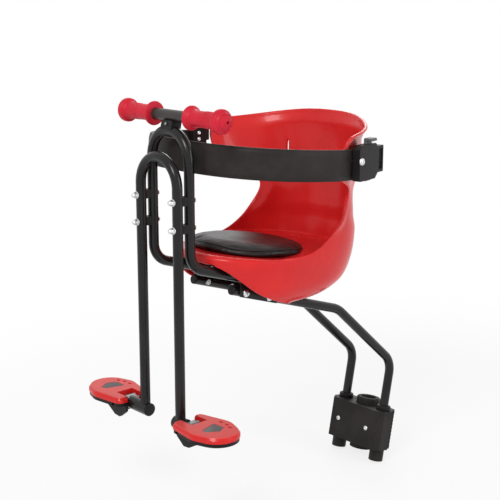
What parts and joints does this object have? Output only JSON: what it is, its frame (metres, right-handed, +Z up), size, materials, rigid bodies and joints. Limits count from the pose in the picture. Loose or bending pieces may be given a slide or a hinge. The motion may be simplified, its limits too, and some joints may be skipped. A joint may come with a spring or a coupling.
{
  "type": "child bike seat",
  "caption": "Front-facing child seat for a bike: bucket shell and cushion on bent tubes, padded band, handlebar, folding pedals and a seat-post clamp.",
  "frame": {"origin": "centre of the seat-post clamp bore, on its axis", "axes": "+Z up, -Y the way the child and the bike face, +X the child's left; the clamp bore leans 11 degrees from +Z towards +Y"},
  "size_m": [0.432, 0.6434, 0.8071],
  "materials": {
    "frame_paint": "satin black powder coat",
    "plastic_black": "black moulded plastic, light satin",
    "zinc": "bright zinc plating",
    "dark_steel": "dark steel",
    "grip_red": "soft crimson rubber",
    "shell_red": "glossy moulded plastic",
    "cushion_skin": "satin black-brown coated cloth",
    "band_foam": "matt foam",
    "tab_grey": "light grey moulded plastic",
    "clamp_plastic": "dark filled nylon",
    "liner_rubber": "black rubber",
    "pedal_red": "satin moulded plastic",
    "pad_grey": "grey rubber inlay"
  },
  "bodies": {
    "seat": {"front_loop": "frame_paint", "footrest_frame": "frame_paint", "handlebar": "frame_paint", "handlebar_bracket": "plastic_black", "bracket_screw": "dark_steel", "grip_left": "grip_red", "grip_right": "grip_red", "frame_spacers": "plastic_black", "frame_bolts": "zinc", "frame_nuts": "zinc", "stay_left": "frame_paint", "stay_right": "frame_paint", "stay_caps": "plastic_black", "rail_caps": "plastic_black", "side_plate_left": "frame_paint", "side_plate_right": "frame_paint", "side_plate_bolts": "zinc", "side_plate_nuts": "zinc", "crossbar_front": "frame_paint", "crossbar_rear": "frame_paint", "seat_bolts": "zinc", "seat_shell": "shell_red", "seat_cushion": "cushion_skin", "safety_band": "band_foam", "band_core": "dark_steel", "band_bracket": "plastic_black", "bracket_rivets": "zinc", "buckle_base": "plastic_black", "buckle_housing": "plastic_black", "buckle_catch": "plastic_black", "buckle_rivet": "zinc", "clamp_block": "clamp_plastic", "clamp_jaw": "clamp_plastic", "post_liner_front": "liner_rubber", "post_liner_rear": "liner_rubber", "socket_collars": "clamp_plastic", "clamp_bolts": "zinc", "clamp_nuts": "zinc", "pedal_arm_left": "frame_paint", "pedal_arm_right": "frame_paint", "arm_caps": "plastic_black", "hinge_lug_left": "zinc", "hinge_lug_right": "zinc", "hinge_pin_left": "zinc", "hinge_pin_right": "zinc"},
    "pedal_left": {"pedal_top_left": "pedal_red", "pedal_base_left": "plastic_black", "pedal_pad_left": "pad_grey"},
    "pedal_right": {"pedal_top_right": "pedal_red", "pedal_base_right": "plastic_black", "pedal_pad_right": "pad_grey"},
    "release_tab": {"release_tab": "tab_grey"}
  },
  "joints": [
    {"name": "pedal_fold_left", "type": "hinge", "parent": "seat", "child": "pedal_left", "pos_m": [0.085, -0.55483, 0.15969], "axis": [0, -1, 0], "range_deg": [0, 85]},
    {"name": "pedal_fold_right", "type": "hinge", "parent": "seat", "child": "pedal_right", "pos_m": [-0.111, -0.55483, 0.15969], "axis": [0, 1, 0], "range_deg": [0, 85]},
    {"name": "tab_release", "type": "slide", "parent": "seat", "child": "release_tab", "axis": [0, 0, 1], "range_m": [0, 0.008], "stiffness_N_per_m": 300, "springref_m": -0.004}
  ]
}
